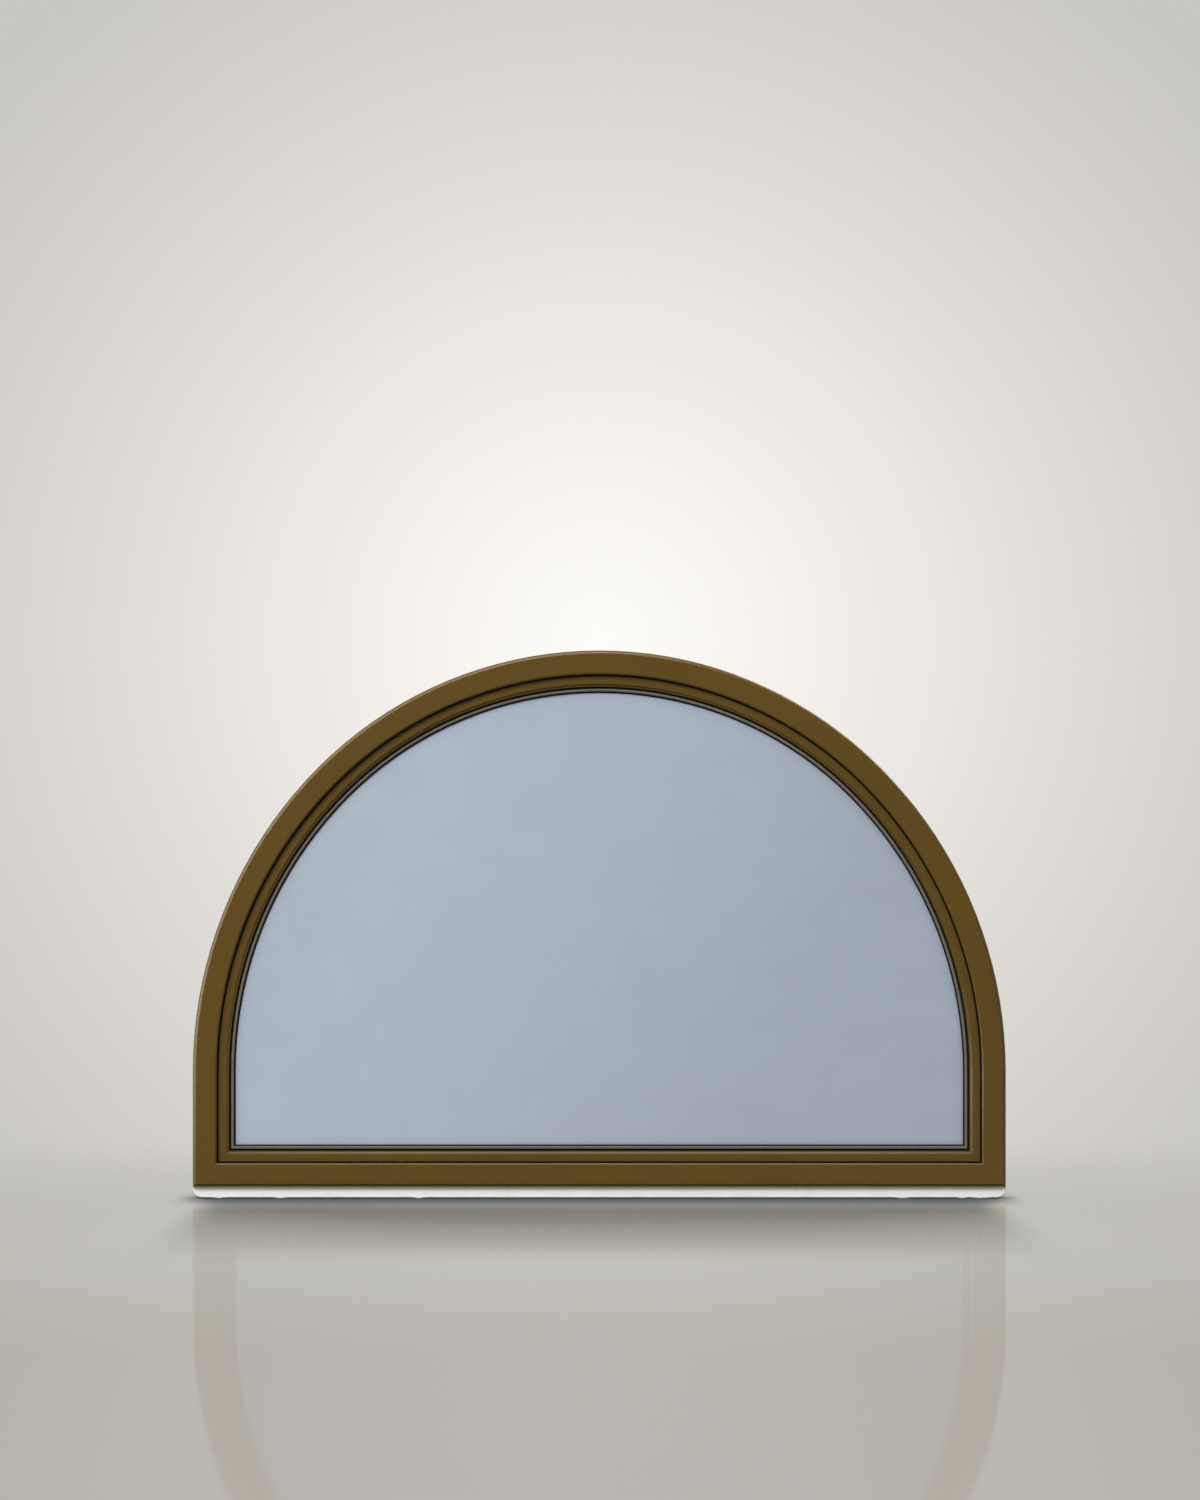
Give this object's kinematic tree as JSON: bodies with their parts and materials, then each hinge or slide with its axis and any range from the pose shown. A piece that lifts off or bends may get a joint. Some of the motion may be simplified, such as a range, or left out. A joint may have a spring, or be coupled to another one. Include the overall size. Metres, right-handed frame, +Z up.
{
  "type": "round-top storm window",
  "caption": "Round-top storm window: a bronze arched frame with a wall flange, and a glazed insert held by slide latches on the room side.",
  "frame": {"origin": "on the flat wall face of the frame, at the middle of the sill, half way up the sill's flange", "axes": "+X to the right seen from the weather side, +Z up, and -Y out of the wall towards the weather side"},
  "size_m": [1.2192, 0.038, 0.8217],
  "materials": {
    "bronze_paint": "satin bronze baked paint on aluminium extrusion",
    "clear_glass": "polished, with a soft sky reflection",
    "black_rubber": "matt",
    "grey_vinyl": "matt",
    "pile_strip": "matt pile",
    "cast_key": "as cast",
    "bolt_steel": "zinc plated",
    "latch_plastic": "satin",
    "white_seal": "matt"
  },
  "bodies": {
    "root": {"frame_corner_key_left": "cast_key", "frame_corner_key_right": "cast_key", "frame_head": "bronze_paint", "frame_sill": "bronze_paint", "glass_pane": "clear_glass", "glazing_bead_bottom": "grey_vinyl", "glazing_bead_head": "grey_vinyl", "glazing_channel_bottom": "black_rubber", "glazing_channel_head": "black_rubber", "insert_bottom_rail": "bronze_paint", "insert_corner_key_left": "cast_key", "insert_corner_key_right": "cast_key", "insert_head": "bronze_paint", "latch_bolt_bottom_left": "bolt_steel", "latch_bolt_bottom_right": "bolt_steel", "latch_bolt_top_left": "bolt_steel", "latch_bolt_top_right": "bolt_steel", "latch_case_bottom_left": "latch_plastic", "latch_case_bottom_right": "latch_plastic", "latch_case_top_left": "latch_plastic", "latch_case_top_right": "latch_plastic", "sill_seal": "white_seal", "weatherstrip_bottom": "pile_strip", "weatherstrip_head": "pile_strip"}
  },
  "joints": []
}
